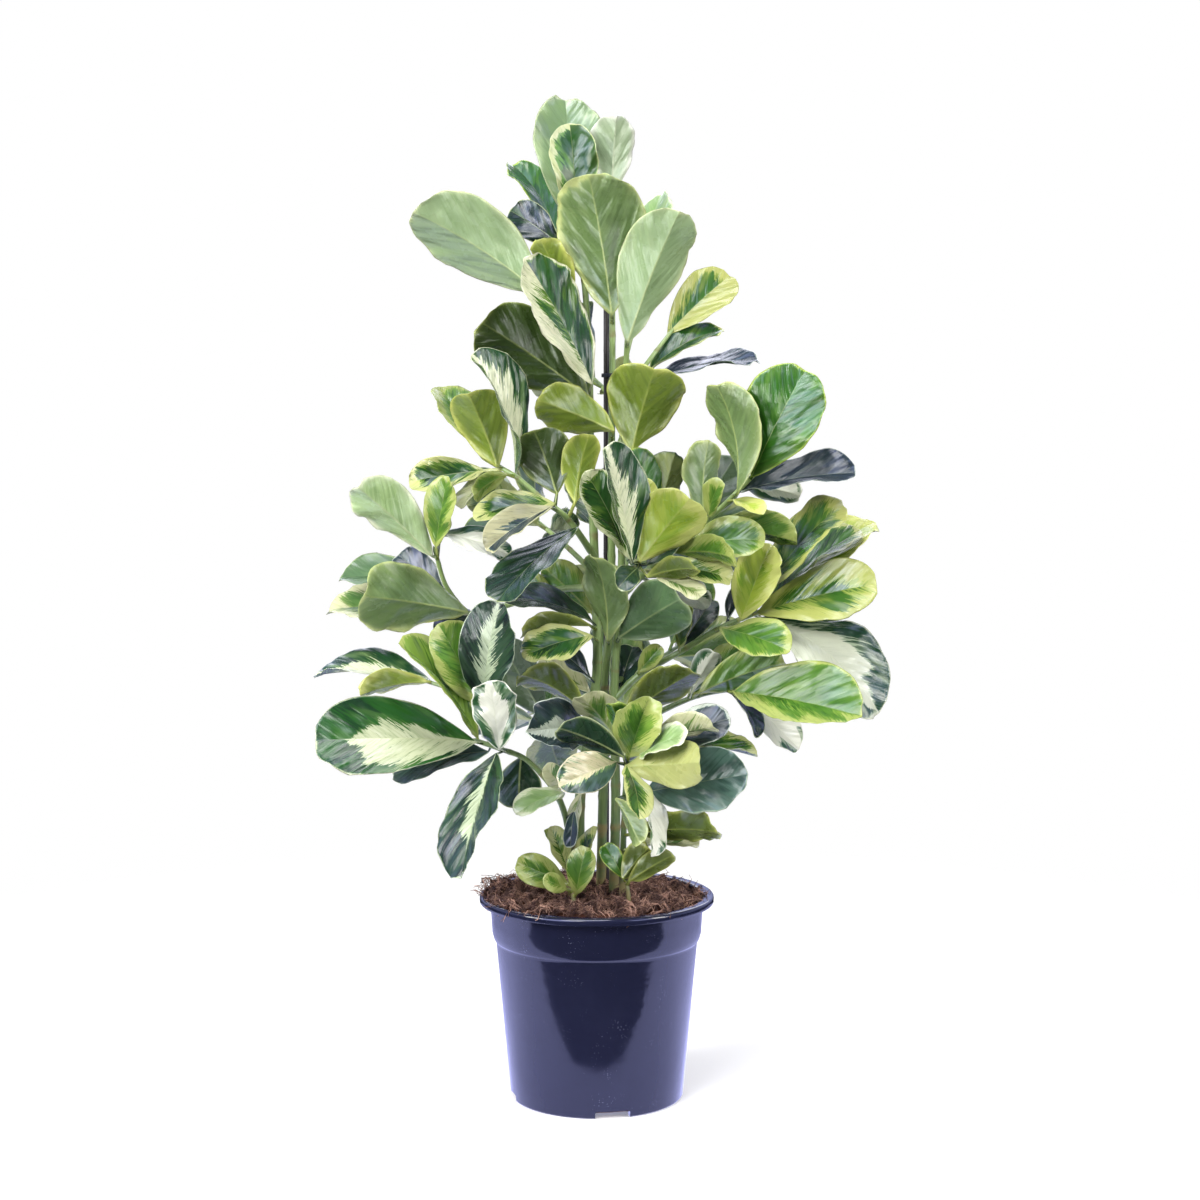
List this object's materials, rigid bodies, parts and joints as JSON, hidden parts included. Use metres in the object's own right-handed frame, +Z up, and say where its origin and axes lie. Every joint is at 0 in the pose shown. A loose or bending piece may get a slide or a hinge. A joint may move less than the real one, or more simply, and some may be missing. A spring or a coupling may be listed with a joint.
{
  "type": "potted clusia",
  "caption": "Tall bushy variegated clusia with thick paddle-shaped leaves on several stems beside a thin cane, standing in soil in a round thin-walled plastic nursery pot.",
  "frame": {"origin": "centre of the pot's foot, on the surface it stands on", "axes": "+Z up along the pot's axis; the side that the picture looks at faces -Y, and +X is to its right"},
  "size_m": [0.6569, 0.4326, 1.1616],
  "materials": {
    "pot_plastic": "satin",
    "peat_and_coir": "matte",
    "dark_cane": "satin",
    "soft_tie": "matte",
    "foliage_left": "satin",
    "foliage_middle": "satin",
    "foliage_right": "satin",
    "foliage_left_low": "satin",
    "foliage_front": "satin",
    "foliage_basal_left": "satin",
    "foliage_basal_right": "satin",
    "cast_leaf": "matte"
  },
  "bodies": {
    "root": {"pot": "pot_plastic", "soil": "peat_and_coir", "support_cane": "dark_cane", "cane_tie": "soft_tie", "stem_left": "foliage_left", "stem_middle": "foliage_middle", "stem_right": "foliage_right", "shoot_left_low": "foliage_left_low", "shoot_front": "foliage_front", "shoot_basal_left": "foliage_basal_left", "shoot_basal_right": "foliage_basal_right", "fallen_leaf": "cast_leaf"}
  },
  "joints": []
}
